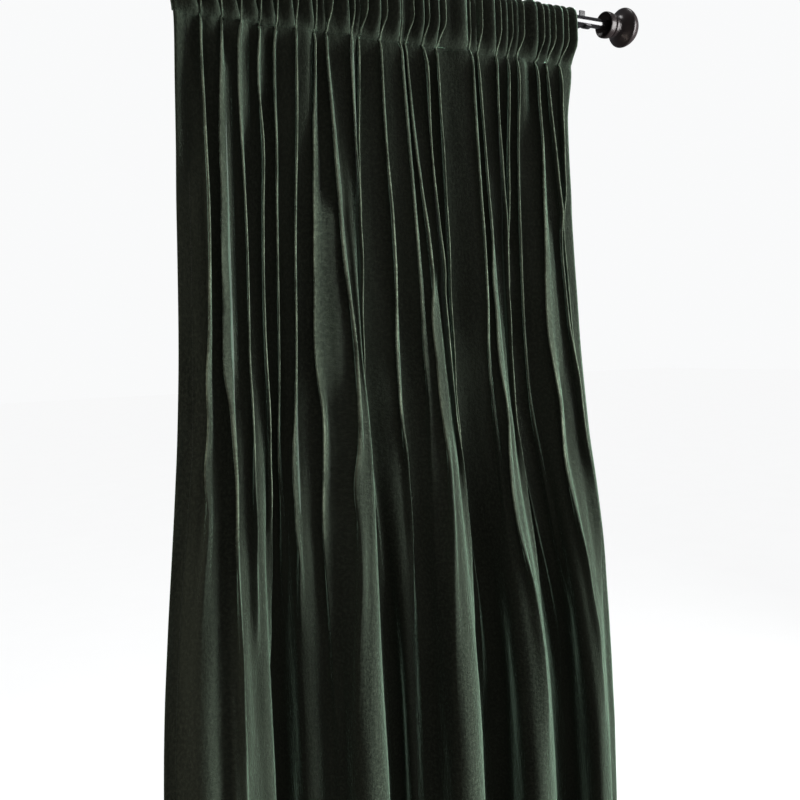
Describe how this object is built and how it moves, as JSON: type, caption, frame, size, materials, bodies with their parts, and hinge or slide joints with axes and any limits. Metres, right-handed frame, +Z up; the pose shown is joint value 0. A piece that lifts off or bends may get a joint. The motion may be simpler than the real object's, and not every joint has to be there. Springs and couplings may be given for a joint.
{
  "type": "velvet curtain on rod",
  "caption": "Dark green velvet curtain panel, gathered on a round metal rod by its rod pocket, with stitched tucks that open into deep soft folds; wall brackets and finials included.",
  "frame": {"origin": "centre of the left bracket's wall plate, on its back face", "axes": "+X along the rod to the right as seen from the room, +Y into the wall, +Z up"},
  "size_m": [1.0496, 0.1516, 2.1526],
  "materials": {
    "green_velvet": "dense cut-pile cotton velvet, very dark forest green with a pale green sheen at grazing angles",
    "black_metal": "glossy black enamel",
    "dark_bronze": "glossy black bronze"
  },
  "bodies": {
    "root": {"curtain": "green_velvet", "rod": "black_metal", "finial_collar_left": "dark_bronze", "finial_collar_right": "dark_bronze", "finial_knob_left": "dark_bronze", "finial_knob_right": "dark_bronze", "bracket_arm_left": "black_metal", "bracket_arm_right": "black_metal", "wall_plate_left": "black_metal", "wall_plate_right": "black_metal", "screw_upper_left": "black_metal", "screw_upper_right": "black_metal", "screw_lower_left": "black_metal", "screw_lower_right": "black_metal"}
  },
  "joints": []
}
